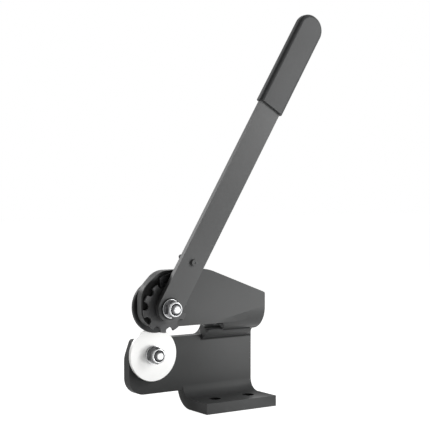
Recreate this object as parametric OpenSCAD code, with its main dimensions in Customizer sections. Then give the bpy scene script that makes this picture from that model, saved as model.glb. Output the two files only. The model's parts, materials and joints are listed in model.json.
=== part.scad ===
// Rotary sheet metal shear for the bench. Two round blades sit in an offset plate frame,
// and a long lever turns the upper one through a pawl and a ratchet wheel.
// Millimetres, +Z up, front towards -Y. The origin lies on the underside of the foot,
// midway between its two bolt holes.

/* [Frame plate] */
// Thickness of the bent plate
plate_t = 12; // [10:0.5:13]
// Width of the foot and of the web above it
foot_w = 94.8; // [86:0.2:110]
// Depth of the foot, from its front edge to the front face of the web
foot_d = 49.5; // [46:0.5:60]
// Inner radius of the bend between foot and web
foot_bend_r = 14; // [10:0.5:18]
// Sideways offset between the faces of the web and of the head
step_d = 28; // [27:0.25:29]
// Inner radius of the lower bend of the offset
step_low_r = 5; // [4:0.5:7]
// Outer radius of the upper bend of the offset
step_high_r = 27; // [26:0.5:30]
// Height of the start of the offset below the top of the arm
step_drop = 1.7; // [1:0.1:3]

/* [Bolt holes] */
// Diameter of each hole in the foot
bolt_hole_d = 13; // [9:0.5:15]
// Distance between the two holes
bolt_pitch = 46; // [36:1:56]
// Distance from the right edge of the foot to the right hole
bolt_side = 23; // [16:1:30]
// Distance from the front edge of the foot to the holes
bolt_front = 22.5; // [16:0.5:25]

/* [Arm] */
// Height of the underside of the arm above the bench
arm_low = 20.2; // [16:0.2:24]
// Height of the arm itself
arm_h = 61.5; // [58:0.5:66]
// Reach of the arm past the left edge of the foot
arm_reach = 69.6; // [64:0.2:76]
// Height of the upright part of the arm's end
arm_face_h = 42.3; // [38:0.1:46]
// Distance that the top of the arm's end leans back
arm_top_in = 7.1; // [4:0.1:10]
// Radius of the lower corner of the arm's end
arm_low_r = 18.5; // [10:0.5:22]
// Radius where the upright end starts to lean back
arm_face_r = 25; // [10:1:40]
// Radius of the top corner of the arm's end
arm_top_r = 4.5; // [2:0.5:8]

/* [Throat] */
// Height of the slot between arm and head
throat_h = 15.5; // [12:0.5:18]
// Distance from the right edge to the centre of the slot's round end
throat_back = 74; // [68:1:82]
// Radius of the upright relief where the offset meets the slot
relief_r = 12; // [10:0.5:14]
// Distance of the relief past the centre of the slot's round end
relief_in = 13; // [8:0.5:14]
// Distance from there to the centre of the relief's own round end
relief_run = 3; // [1:0.5:4]

/* [Seam] */
// Distance of the weld seam's lower edge below the top of the arm
seam_drop = 5; // [3:0.25:7]
// Angle that the seam's upper edge climbs round the upper bend
seam_turn = 24.5; // [20:0.5:27]
// Crown radius of the seam's face
seam_r = 20; // [16:1:30]
// Distance of the seam's left end past the centre of the slot's round end
seam_left = 4; // [2:0.5:6]
// Distance of the seam's right end from the right edge
seam_right = 8; // [5:0.5:10]
// Radius of the corners at the seam's ends
seam_end_r = 5; // [2:0.5:7]

/* [Head] */
// Length of the head from the right edge to its nose
head_l = 163.6; // [160:0.2:168]
// Height of the head above the slot
head_h = 62.5; // [58:0.5:68]
// Length of the sloped back edge
slope_run = 80.6; // [70:0.2:84]
// Height of the right corner above the slot
shoulder_h = 31.7; // [26:0.1:40]
// Height of the upright part of the nose
nose_face_h = 41.3; // [38:0.1:46]
// Distance that the top of the nose leans back
nose_top_in = 21.2; // [16:0.2:26]
// Radius of the lower corner of the nose
nose_low_r = 19.5; // [10:0.5:22]
// Radius where the upright nose starts to lean back
nose_face_r = 25; // [16:0.5:28]
// Radius of the top corner of the nose
nose_top_r = 26; // [16:1:30]
// Radius between the flat top and the sloped back edge
slope_r = 55; // [20:1:80]
// Radius of the right corner
shoulder_r = 3; // [1:0.5:8]
// Distance over which the head's fold climbs from the slot to its full height
blend_run = 38; // [30:1:44]

/* [Blades] */
// Diameter of each round blade
blade_d = 58.8; // [56:0.2:64]
// Thickness of each round blade
blade_t = 4.5; // [3.5:0.25:5]
// Distance of the upper axis from the nose
upper_axis_in = 26.9; // [25:0.1:28]
// Height of the upper axis above the slot
upper_axis_up = 21.8; // [20:0.1:24]
// Distance of the lower axis from the end of the arm
lower_axis_in = 26.4; // [24:0.1:28]
// Depth of the lower axis below the top of the arm
lower_axis_down = 16.7; // [15:0.1:19]
// Gap between the cutting faces of the two blades
shear_gap = 0.1; // [0.05:0.05:0.2]
// Chamfer on the outer edge of each blade, away from its cutting face
blade_chamfer = 0.8; // [0.3:0.1:1.5]

/* [Spindles] */
// Diameter of the upper spindle in its bush
journal_d = 16; // [14:0.5:18]
// Outer diameter of the bush in the head
bush_d = 22; // [20:0.5:25]
// Diameter of the spindle's seats for the wheel and for the blade
seat_d = 12; // [11:0.5:13]
// Diameter of the spindle's collar, which drives the upper blade
collar_d = 26; // [24:0.5:30]
// Outer diameter of the bushes that the lever and the lower blade turn on
sleeve_d = 16; // [14:0.5:17]
// Thickness of the spacer between arm and lower blade
spacer_t = 3.3; // [2:0.1:5]
// Diameter of both spacers
spacer_d = 22; // [19:0.5:26]
// Diameter of the two dowels between collar and upper blade
dowel_d = 3; // [2:0.5:4]
// Distance of the dowels from the spindle's centre
dowel_out = 9.6; // [8.6:0.1:10]
// Width and height of the drive key
key_w = 3; // [2:0.5:4]

/* [Fasteners] */
// Thread diameter of both spindle ends and of the lower bolt
thread_d = 10; // [8:0.5:10]
// Width across the flats of nuts and bolt head
nut_af = 17; // [15:0.5:19]
// Height of a nut with its locking collar
nut_t = 10; // [8:0.5:12]
// Height of the locking collar
lock_t = 2.6; // [1.5:0.1:3.5]
// Diameter of the locking collar
lock_d = 15.3; // [13:0.1:16]
// Height of the thin nut behind the upper blade
thin_nut_t = 8; // [5:0.5:9]
// Height of the lower bolt's head
bolt_head_t = 6.4; // [5:0.1:8]
// Diameter of the washers
washer_d = 21; // [19:0.5:24]
// Thickness of the washers
washer_t = 2; // [1.5:0.1:2.5]
// Length of thread that stands out of a nut
thread_out = 3; // [1.5:0.5:5]

/* [Ratchet] */
// Outer diameter of the ratchet wheel
wheel_d = 54.6; // [52:0.2:57]
// Thickness of the ratchet wheel
wheel_t = 3; // [2:0.25:3.5]
// Number of notches round the wheel
notches = 10; // [8:1:12]
// Width of each notch
notch_w = 9; // [8.5:0.1:9.5]
// Depth of the centre of a notch's round bottom below the wheel's edge
notch_in = 0.9; // [0.5:0.1:1.5]
// Angle of the notch that the pawl rests in
notch_angle = 101.2; // [99:0.1:103]

/* [Lever] */
// Width of the flat bar
lever_w = 30; // [28:0.5:34]
// Thickness of the flat bar
lever_t = 6; // [5:0.5:8]
// Length of the bar from the spindle's centre to its top
lever_l = 383; // [300:1:450]
// Angle of the lever at rest above level
lever_angle = 58.7; // [56:0.1:61]
// Radius of the corners at the top of the bar
lever_top_r = 11; // [6:0.5:14]
// Thickness of the spacer between wheel and lever
lever_spacer_t = 3.6; // [3.4:0.1:5]
// Length of the dipped grip
grip_l = 126; // [90:1:160]
// Wall of the grip
grip_wall = 3; // [1.5:0.25:4.5]
// Radius of the grip's long edges
grip_edge_r = 4.5; // [2:0.25:5]

/* [Pawl] */
// Distance of the pawl's pin from the spindle's centre
pawl_at = 57; // [56:0.5:59]
// Thickness of the pawl
pawl_t = 3.3; // [2.5:0.1:3.4]
// Radius of the pawl round its pin
pawl_r = 8; // [6.5:0.5:9]
// Radius of the pawl's nose
pawl_nose_r = 2.8; // [2.5:0.1:2.9]
// Diameter of the pin
pin_d = 5; // [4:0.5:5.5]
// Diameter of the pin's head
pin_head_d = 7.3; // [6.5:0.1:9]
// Height of the pin's head
pin_head_t = 2.6; // [1:0.1:3]
// Radius of the pawl's elbow, which keeps it behind the lever
pawl_elbow_r = 6.4; // [5:0.2:7]
// Width of the thumb tab on the pawl
tab_w = 5; // [4:0.1:6]
// Reach of the thumb tab from the pin
tab_l = 13.4; // [12.8:0.1:18]
// Diameter of the spring's wire
wire_d = 0.8; // [0.6:0.05:0.8]
// Length of the spring's straight legs
spring_leg = 10; // [9:0.5:12]

/* [Hidden] */
$fn = 72;

// Clearances and small sizes that have no range
overrun = 1;         // how far a cut runs past what it cuts
run_gap = 0.05;      // radial gap of a running fit
side_gap = 0.3;      // gap between faces that pass each other
end_play = 0.1;      // side play of a part on its bush
hole_gap = 0.25;     // radial gap of a clearance hole
edge_chamfer = 0.5;  // chamfer of turned parts
bend_lap = 0.3;      // angle by which the two bends of the offset run into each other
nut_bevel = 0.9;     // height of the bevel on a hexagon
dimple_d = 2.4;      // dimple in the head of the pawl's pin
dimple_t = 0.5;
rivet_d = 7.2;       // flush rivet head behind the pawl
rivet_t = 1.1;
tab_tip_gap = 0.1;    // how far the tab's round end stays short of a half circle
spring_gap = 0.5;    // gap between the spring's turns
coil_room = 1.1;     // gap between the pin and the coil round it
spring_turn = 90;    // angle that the spring winds past one full turn
spring_hook = 2.2;   // length of the spring's bent tips
hook_r = 0.5;        // radius of those bends
ring_angle = 15;     // angle between rings along the spring
wire_sides = 6;

// Frame plate
right_x = bolt_pitch / 2 + bolt_side;
left_x = right_x - foot_w;
front_y = -bolt_front;
web_y = front_y + foot_d;
web_back_y = web_y + plate_t;
foot_bend_z = plate_t + foot_bend_r;
arm_x = left_x - arm_reach;
arm_top_z = arm_low + arm_h;
throat_mid_z = arm_top_z + throat_h / 2;
roof_z = arm_top_z + throat_h;
head_top_z = roof_z + head_h;
nose_x = right_x - head_l;
head_y = web_y - step_d;
head_back_y = head_y + plate_t;
step_low_z = arm_top_z - step_drop;
step_angle = acos(1 - step_d / (step_low_r + step_high_r));
step_high_z = step_low_z + (step_low_r + step_high_r) * sin(step_angle);
throat_x = right_x - throat_back;
relief_x = throat_x + relief_in;
fold_angle = atan((step_high_z - roof_z) / blend_run);

// Weld seam in the offset's inner corner, as points of (depth, height)
seam_root = 2;       // how far the seam reaches into the web
seam_a = [web_y, arm_top_z - seam_drop];
seam_b = [head_y + step_high_r - step_high_r * sin(seam_turn),
    step_high_z - step_high_r * cos(seam_turn)];
seam_half = norm(seam_b - seam_a) / 2;
seam_mid = (seam_a + seam_b) / 2;
seam_in = [seam_b[1] - seam_a[1], seam_a[0] - seam_b[0]] / (2 * seam_half);
seam_centre = seam_mid + seam_in * sqrt(pow(seam_r, 2) - pow(seam_half, 2));

// Axes of the spindle and of the lower bolt
upper_x = nose_x + upper_axis_in;
upper_z = roof_z + upper_axis_up;
lower_x = arm_x + lower_axis_in;
lower_z = arm_top_z - lower_axis_down;

// Radii
blade_r = blade_d / 2;
journal_r = journal_d / 2;
seat_r = seat_d / 2;
sleeve_r = sleeve_d / 2;
thread_r = thread_d / 2;
wheel_r = wheel_d / 2;
notch_r = notch_w / 2;
notch_at = wheel_r - notch_in;

// Lower stack, from the web forwards
spacer_y = web_y - spacer_t;
lower_blade_y = spacer_y - end_play - blade_t;
lower_bush_y = lower_blade_y - end_play;
lower_washer_y = lower_bush_y - washer_t;
lower_nut_y = lower_washer_y - nut_t;

// Upper stack behind the head
collar_y = head_back_y + side_gap;
upper_blade_back_y = lower_blade_y - shear_gap;
upper_blade_y = upper_blade_back_y - blade_t;
rear_nut_y = upper_blade_back_y + washer_t;

// Upper stack in front of the head, forwards
wheel_back_y = head_y - side_gap;
wheel_y = wheel_back_y - wheel_t;
lever_spacer_y = wheel_y - lever_spacer_t;
lever_back_y = lever_spacer_y - end_play;
lever_y = lever_back_y - lever_t;
lever_bush_y = lever_y - end_play;
upper_washer_y = lever_bush_y - washer_t;
upper_nut_y = upper_washer_y - nut_t;

// Grip
grip_s = lever_l + grip_wall - grip_l;
grip_w = lever_w + 2 * grip_wall;

// Pawl, in the lever's own frame: along the lever, and square to it
pawl_back_y = head_y - 2 * side_gap;
pawl_y = pawl_back_y - pawl_t;
nose_gap = 0.5;
nose_at = notch_at - notch_r + nose_gap + pawl_nose_r;
nose_lead = 0.7;
nose_angle = notch_angle - lever_angle - asin(nose_lead / nose_at);
nose_p = nose_at * [cos(nose_angle), sin(nose_angle)];
pawl_p = [pawl_at, 0];
heel_r = 3.2;
heel_up = 4.2;
heel_turn = 1;
heel_p = (wheel_r + heel_up) * [cos(nose_angle - heel_turn), sin(nose_angle - heel_turn)];
pawl_relief_gap = 1.2;
elbow_gap = 4.3;
elbow_side = 3.6;
elbow_p = [wheel_r + elbow_gap + pawl_elbow_r, elbow_side];

// Spring on the pawl's pin
wire_r = wire_d / 2;
coil_r = pin_d / 2 + coil_room + wire_r;
coil_pitch = wire_d + spring_gap;
coil_y = lever_back_y + side_gap + wire_r;
coil_end = 360 + spring_turn;
coil_back_y = coil_y + coil_pitch * coil_end / 360;

// Colours
powder = [0.30, 0.31, 0.31];
black_oxide = [0.16, 0.16, 0.17];
zinc = [0.78, 0.79, 0.80];
ground = [0.86, 0.87, 0.88];
bronze = [0.68, 0.50, 0.28];
vinyl = [0.25, 0.26, 0.26];

function unit(v) = v / norm(v);
function polar(r, a) = r * [cos(a), sin(a)];

// Takes a 2D shape in the front view and gives it depth from y0 to y1
module slab(y0, y1) {
    translate([0, y1, 0])
        rotate([90, 0, 0])
            linear_extrude(y1 - y0)
                children();
}

// Takes a 2D shape in the side view (depth, height) and gives it length from x0 to x1
module along_x(x0, x1) {
    translate([x0, 0, 0])
        rotate([90, 0, 90])
            linear_extrude(x1 - x0)
                children();
}

module on_upper_axis() {
    translate([upper_x, 0, upper_z]) children();
}

module on_lower_axis() {
    translate([lower_x, 0, lower_z]) children();
}

// The lever's frame: +X runs along the lever and +Z square to it, to its left
module on_lever() {
    on_upper_axis()
        rotate([0, -lever_angle, 0])
            children();
}

// What a round corner of radius r takes off the corner p between its neighbours a and b
module corner_waste(p, a, b, r) {
    u = unit(a - p);
    v = unit(b - p);
    half = acos(u * v) / 2;
    reach = r / tan(half);
    centre = p + unit(u + v) * r / sin(half);
    difference() {
        polygon([p - unit(u + v) * overrun, p + u * reach, centre, p + v * reach]);
        translate(centre) circle(r);
    }
}

// Outline through points, each corner rounded by its radius; zero keeps it sharp
module rounded_outline(points, radii) {
    last = len(points) - 1;
    difference() {
        polygon(points);
        for (i = [0 : last])
            if (radii[i] > 0)
                corner_waste(points[i], points[i == 0 ? last : i - 1],
                    points[i == last ? 0 : i + 1], radii[i]);
    }
}

module ring_sector(centre, r_in, r_out, a0, a1) {
    far = 2 * r_out;
    translate(centre)
        intersection() {
            difference() {
                circle(r_out);
                circle(r_in);
            }
            polygon([[0, 0], polar(far, a0), polar(far, (a0 + a1) / 2), polar(far, a1)]);
        }
}

// Two circles joined by their outer tangents
module link_2d(p, q, rp, rq) {
    d = norm(q - p);
    dir = atan2(q[1] - p[1], q[0] - p[0]);
    open = acos((rp - rq) / d);
    translate(p) circle(rp);
    translate(q) circle(rq);
    polygon([p + polar(rp, dir + open), p + polar(rp, dir - open),
        q + polar(rq, dir - open), q + polar(rq, dir + open)]);
}

// Flat bar from zero to l with two round corners at its far end
module bar_2d(l, w, r) {
    translate([0, -w / 2]) square([l - r, w]);
    translate([0, -w / 2 + r]) square([l, w - 2 * r]);
    for (side = [-1, 1])
        translate([l - r, side * (w / 2 - r)]) circle(r);
}

module ring(y0, y1, r_out, r_in) {
    slab(y0, y1)
        difference() {
            circle(r_out);
            circle(r_in);
        }
}

// Turned ring with chamfered outer edges
module turned_ring(y0, y1, r_out, r_in, chamfer) {
    h = y1 - y0;
    translate([0, y1, 0])
        rotate([90, 0, 0])
            rotate_extrude()
                polygon([[r_in, 0], [r_out - chamfer, 0], [r_out, chamfer],
                    [r_out, h - chamfer], [r_out - chamfer, h], [r_in, h]]);
}

// Hexagon with bevelled corners that stands on zero and points along +Z
module hexagon(af, h) {
    r = af / sqrt(3);
    intersection() {
        cylinder(h = h, r = r, $fn = 6);
        rotate_extrude()
            polygon([[0, 0], [af / 2, 0], [r, nut_bevel], [r, h - nut_bevel], [af / 2, h], [0, h]]);
    }
}

// Nut with a locking collar that stands on zero and points along +Z
module lock_nut(h) {
    difference() {
        union() {
            hexagon(nut_af, h - lock_t);
            rotate_extrude()
                polygon([[0, 0], [lock_d / 2, 0], [lock_d / 2, h - edge_chamfer],
                    [lock_d / 2 - edge_chamfer, h], [0, h]]);
        }
        translate([0, 0, -overrun])
            cylinder(h = h + 2 * overrun, r = thread_r);
    }
}

module foot_and_web() {
    along_x(left_x, right_x) {
        translate([front_y, 0])
            square([web_y - foot_bend_r - front_y, plate_t]);
        ring_sector([web_y - foot_bend_r, foot_bend_z], foot_bend_r, foot_bend_z, 270, 360);
        translate([web_y, foot_bend_z])
            square([plate_t, step_low_z - foot_bend_z]);
    }
}

// The plate's S-bend, which carries the head in front of the web
module offset_bend() {
    along_x(throat_x, right_x) {
        ring_sector([web_y - step_low_r, step_low_z],
            step_low_r, step_low_r + plate_t, 0, step_angle + bend_lap);
        ring_sector([head_y + step_high_r, step_high_z],
            step_high_r - plate_t, step_high_r, 180, 180 + step_angle + bend_lap);
    }
}

module arm_slab() {
    slab(web_y, web_back_y)
        rounded_outline(
            [[arm_x, arm_low], [arm_x, arm_low + arm_face_h], [arm_x + arm_top_in, arm_top_z],
                [relief_x, arm_top_z], [relief_x, foot_bend_z], [left_x, foot_bend_z],
                [left_x, arm_low]],
            [arm_low_r, arm_face_r, arm_top_r, 0, 0, 0, 0]);
}

module head_slab() {
    slab(head_y, head_back_y)
        rounded_outline(
            [[nose_x, roof_z], [nose_x, roof_z + nose_face_h], [nose_x + nose_top_in, head_top_z],
                [right_x - slope_run, head_top_z], [right_x, roof_z + shoulder_h],
                [right_x, step_high_z], [throat_x + blend_run, step_high_z], [throat_x, roof_z]],
            [nose_low_r, nose_face_r, nose_top_r, slope_r, shoulder_r, 0, 0, 0]);
}

// Runs the head's flat face into the bend round a fold that climbs from the slot
module head_blend() {
    intersection() {
        slab(head_y, head_back_y)
            polygon([[throat_x, roof_z], [throat_x + blend_run, roof_z],
                [throat_x + blend_run, step_high_z]]);
        translate([throat_x, head_y + step_high_r, roof_z])
            rotate([0, 90 - fold_angle, 0])
                cylinder(h = 4 * blend_run, r = step_high_r, center = true, $fn = 144);
    }
}

module seam_2d() {
    from = [seam_b[0], seam_a[1]] - [seam_root, seam_root];
    to = [web_y, seam_b[1]] + [seam_root, seam_root];
    intersection() {
        translate(seam_centre) circle(seam_r);
        translate(from) square(to - from);
    }
}

// Weld seam with rounded ends, which fills the inner corner of the offset
module seam() {
    x0 = throat_x + seam_left;
    x1 = right_x - seam_right;
    h = seam_half + overrun;
    intersection() {
        along_x(x0, x1) seam_2d();
        translate([0, seam_mid[0], seam_mid[1]])
            rotate([-atan2(seam_in[0], seam_in[1]), 0, 0])
                linear_extrude(4 * seam_half, center = true)
                    rounded_outline([[x0, -h], [x1, -h], [x1, h], [x0, h]],
                        [for (i = [0:3]) seam_end_r]);
    }
}

module throat_cut() {
    slab(head_y - overrun, web_back_y + overrun) {
        translate([arm_x, arm_top_z])
            square([throat_x - arm_x, throat_h]);
        translate([throat_x, throat_mid_z])
            circle(throat_h / 2);
    }
    intersection() {
        translate([relief_x, web_y - relief_r, arm_top_z])
            cylinder(h = throat_h, r = relief_r);
        slab(head_y - overrun, web_back_y)
            link_2d([throat_x, throat_mid_z], [relief_x + relief_run, throat_mid_z],
                throat_h / 2, throat_h / 2);
    }
}

module bent_plate() {
    difference() {
        union() {
            foot_and_web();
            offset_bend();
            arm_slab();
            head_slab();
            head_blend();
        }
        throat_cut();
        for (side = [-1, 1])
            translate([side * bolt_pitch / 2, 0, -overrun])
                cylinder(h = plate_t + 2 * overrun, d = bolt_hole_d);
        on_upper_axis()
            slab(head_y - overrun, head_back_y + overrun)
                circle(d = bush_d);
        on_lower_axis()
            slab(web_y - overrun, web_back_y + overrun)
                circle(thread_r + hole_gap);
    }
}

module frame_plate() {
    color(powder)
        union() {
            bent_plate();
            seam();
        }
}

module upper_bush() {
    color(bronze)
        on_upper_axis()
            ring(head_y, head_back_y, bush_d / 2, journal_r + run_gap);
}

module key_space() {
    translate([-key_w / 2, wheel_y, seat_r - key_w / 2])
        cube([key_w, wheel_t, key_w]);
}

module dowels(y0, y1) {
    for (side = [-1, 1])
        translate([0, 0, side * dowel_out])
            slab(y0, y1)
                circle(d = dowel_d);
}

module upper_spindle() {
    front_y0 = upper_nut_y - thread_out;
    rear_y1 = rear_nut_y + thin_nut_t + thread_out;
    color(zinc)
        on_upper_axis()
            difference() {
                union() {
                    turned_ring(front_y0, collar_y, thread_r, 0, edge_chamfer);
                    slab(lever_bush_y, collar_y) circle(seat_r);
                    slab(wheel_back_y, collar_y) circle(journal_r);
                    slab(collar_y, upper_blade_y) circle(d = collar_d);
                    slab(collar_y, upper_blade_back_y) circle(seat_r);
                    turned_ring(collar_y, rear_y1, thread_r, 0, edge_chamfer);
                }
                key_space();
                dowels(collar_y - overrun, upper_blade_y + overrun);
            }
}

module ratchet_wheel() {
    color(black_oxide)
        on_upper_axis()
            difference() {
                slab(wheel_y, wheel_back_y)
                    difference() {
                        circle(wheel_r);
                        circle(seat_r);
                        for (i = [0 : notches - 1])
                            rotate(notch_angle + i * 360 / notches)
                                translate([notch_at, 0]) {
                                    circle(notch_r);
                                    translate([0, -notch_r])
                                        square([notch_w, notch_w]);
                                }
                    }
                key_space();
            }
}

module drive_key() {
    color(zinc)
        on_upper_axis()
            key_space();
}

// Round blade whose cutting face lies at y_cut; its outer edge is chamfered at y_far
module blade(y_cut, y_far, bore_r) {
    dir = y_far > y_cut ? 1 : -1;
    translate([0, y_cut, 0])
        rotate([-90 * dir, 0, 0])
            rotate_extrude($fn = 144)
                polygon([[bore_r, 0], [blade_r, 0], [blade_r, blade_t - blade_chamfer],
                    [blade_r - blade_chamfer, blade_t], [bore_r, blade_t]]);
}

module upper_blade() {
    color(black_oxide)
        on_upper_axis()
            difference() {
                blade(upper_blade_back_y, upper_blade_y, seat_r);
                dowels(upper_blade_y - overrun, upper_blade_back_y + overrun);
            }
}

module blade_dowels() {
    color(zinc)
        on_upper_axis()
            dowels(collar_y, upper_blade_back_y);
}

module upper_rear_washer() {
    color(zinc)
        on_upper_axis()
            ring(upper_blade_back_y, rear_nut_y, washer_d / 2, thread_r);
}

module upper_rear_nut() {
    color(zinc)
        on_upper_axis()
            translate([0, rear_nut_y, 0])
                rotate([-90, 0, 0])
                    lock_nut(thin_nut_t);
}

module lever_spacer() {
    color(zinc)
        on_upper_axis()
            ring(lever_spacer_y, wheel_y, spacer_d / 2, seat_r);
}

module lever_bush() {
    color(bronze)
        on_upper_axis()
            ring(lever_bush_y, lever_spacer_y, sleeve_r, seat_r);
}

module lever_outline() {
    circle(lever_w / 2);
    bar_2d(lever_l, lever_w, lever_top_r);
}

module lever_arm() {
    color(powder)
        on_lever()
            difference() {
                slab(lever_y, lever_back_y)
                    difference() {
                        lever_outline();
                        circle(sleeve_r + run_gap);
                        translate(pawl_p) circle(d = pin_d);
                    }
                spring_hole();
            }
}

module lever_grip() {
    depth = lever_t + 2 * grip_wall;
    color(vinyl)
        on_lever()
            difference() {
                intersection() {
                    along_x(grip_s, grip_s + grip_l)
                        translate([lever_y - grip_wall, -grip_w / 2])
                            rounded_outline([[0, 0], [depth, 0], [depth, grip_w], [0, grip_w]],
                                [grip_edge_r, grip_edge_r, grip_edge_r, grip_edge_r]);
                    slab(lever_y - grip_wall, lever_back_y + grip_wall)
                        bar_2d(lever_l + grip_wall, grip_w, lever_top_r + grip_wall);
                }
                slab(lever_y, lever_back_y)
                    bar_2d(lever_l, lever_w, lever_top_r);
            }
}

module upper_washer() {
    color(zinc)
        on_upper_axis()
            ring(upper_washer_y, lever_bush_y, washer_d / 2, thread_r);
}

module upper_nut() {
    color(zinc)
        on_upper_axis()
            translate([0, upper_washer_y, 0])
                rotate([90, 0, 0])
                    lock_nut(nut_t);
}

// Cone frustum of the flush rivet head, grown by a gap
module rivet_cone(gap) {
    shank_r = pin_d / 2;
    translate([pawl_at, pawl_back_y, 0])
        rotate([90, 0, 0])
            cylinder(h = rivet_t + gap, r1 = rivet_d / 2 + gap, r2 = shank_r);
}

module pawl() {
    tab_s = pawl_at + coil_r - wire_r - side_gap;
    tab_tip_r = tab_w / 2 - tab_tip_gap;
    color(black_oxide)
        on_lever()
            difference() {
                slab(pawl_y, pawl_back_y)
                    difference() {
                        union() {
                            difference() {
                                union() {
                                    link_2d(pawl_p, elbow_p, pawl_r, pawl_elbow_r);
                                    link_2d(elbow_p, heel_p, pawl_elbow_r, heel_r);
                                    translate([tab_s - tab_w, 0])
                                        rounded_outline([[0, 0], [tab_w, 0], [tab_w, tab_l], [0, tab_l]],
                                            [0, 0, tab_tip_r, tab_tip_r]);
                                }
                                circle(wheel_r + pawl_relief_gap);
                            }
                            link_2d(heel_p, nose_p, heel_r, pawl_nose_r);
                        }
                        translate(pawl_p) circle(pin_d / 2 + run_gap);
                    }
                rivet_cone(2 * run_gap);
            }
}

module pawl_pin() {
    color(powder)
        on_lever()
            difference() {
                union() {
                    translate([pawl_at, 0, 0])
                        slab(lever_y, pawl_back_y)
                            circle(d = pin_d);
                    translate([pawl_at, 0, 0])
                        turned_ring(lever_y - pin_head_t, lever_y, pin_head_d / 2, 0, edge_chamfer);
                    rivet_cone(0);
                }
                translate([pawl_at, 0, 0])
                    slab(lever_y - pin_head_t - overrun, lever_y - pin_head_t + dimple_t)
                        circle(d = dimple_d);
            }
}

// Blind hole in the back of the lever for the fixed tip of the spring
module spring_hole() {
    translate([pawl_at - spring_leg, 0, -coil_r])
        slab(lever_back_y - spring_hook, lever_back_y + overrun)
            circle(wire_r + run_gap);
}

// Points along the spring's wire as [along the lever, depth, square to the lever]:
// a tip in the lever, a straight leg, the coil, a leg across the tab and a bent tip
bend_shares = [[0, 0], [0.3, 0.7], [1, 1]];
fixed_tip = [for (b = bend_shares)
    [pawl_at - spring_leg + hook_r * b[0], coil_y - hook_r * (1 - b[1]), -coil_r]];
moving_tip = [for (i = [2 : -1 : 0])
    [pawl_at + coil_r, coil_back_y + hook_r * (1 - bend_shares[i][1]),
        spring_leg - hook_r * bend_shares[i][0]]];
coil = [for (a = [0 : ring_angle : coil_end])
    [pawl_at + coil_r * sin(a), coil_y + coil_pitch * a / 360, -coil_r * cos(a)]];
wire_path = concat(
    [[pawl_at - spring_leg, lever_back_y - spring_hook + hook_r, -coil_r]],
    fixed_tip, coil, moving_tip,
    [[pawl_at + coil_r, coil_back_y + spring_hook, spring_leg]]);

function tangent(path, i) =
    unit(path[min(i + 1, len(path) - 1)] - path[max(i - 1, 0)]);
function square_to(v, t) = unit(v - (v * t) * t);
function side_vectors(path) =
    [for (i = 0, v = square_to([0, 0, 1], tangent(path, 0)); i < len(path);
        i = i + 1, v = i < len(path) ? square_to(v, tangent(path, i)) : v) v];

module tube(path, r, sides) {
    us = side_vectors(path);
    points = [for (i = [0 : len(path) - 1])
        let (t = tangent(path, i), w = cross(t, us[i]))
            for (k = [0 : sides - 1])
                path[i] + r * (cos(360 * k / sides) * us[i] + sin(360 * k / sides) * w)];
    last = (len(path) - 1) * sides;
    faces = concat(
        [for (i = [0 : len(path) - 2], k = [0 : sides - 1])
            let (a = i * sides + k, b = i * sides + (k + 1) % sides)
                each [[a, a + sides, b + sides], [a, b + sides, b]]],
        [for (k = [1 : sides - 2]) each [[0, k, k + 1], [last, last + k + 1, last + k]]]);
    polyhedron(points, faces);
}

module pawl_spring() {
    color(ground)
        on_lever()
            tube(wire_path, wire_r, wire_sides);
}

half_turn = 180 / ring_angle;
echo(least_spring_gap = min([for (i = [0 : len(coil) - 1], j = [i + half_turn : len(coil) - 1])
    norm(coil[i] - coil[j]) - wire_d]));

module lower_bolt() {
    front_y0 = lower_nut_y - thread_out;
    head_seat_y = web_back_y + washer_t;
    color(zinc)
        on_lower_axis() {
            turned_ring(front_y0, head_seat_y, thread_r, 0, edge_chamfer);
            translate([0, head_seat_y, 0])
                rotate([-90, 0, 0])
                    hexagon(nut_af, bolt_head_t);
        }
}

module lower_rear_washer() {
    color(zinc)
        on_lower_axis()
            ring(web_back_y, web_back_y + washer_t, washer_d / 2, thread_r);
}

module lower_spacer() {
    color(zinc)
        on_lower_axis()
            ring(spacer_y, web_y, spacer_d / 2, thread_r);
}

module lower_bush() {
    color(bronze)
        on_lower_axis()
            ring(lower_bush_y, spacer_y, sleeve_r, thread_r);
}

module lower_blade() {
    color(ground)
        on_lower_axis()
            blade(lower_blade_y, lower_blade_y + blade_t, sleeve_r + run_gap);
}

module lower_washer() {
    color(zinc)
        on_lower_axis()
            ring(lower_washer_y, lower_bush_y, washer_d / 2, thread_r);
}

module lower_nut() {
    color(zinc)
        on_lower_axis()
            translate([0, lower_washer_y, 0])
                rotate([90, 0, 0])
                    lock_nut(nut_t);
}

frame_plate();
upper_bush();
upper_spindle();
ratchet_wheel();
drive_key();
upper_blade();
blade_dowels();
upper_rear_washer();
upper_rear_nut();
lever_spacer();
lever_bush();
lever_arm();
lever_grip();
upper_washer();
upper_nut();
pawl();
pawl_pin();
pawl_spring();
lower_bolt();
lower_rear_washer();
lower_spacer();
lower_bush();
lower_blade();
lower_washer();
lower_nut();
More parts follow.
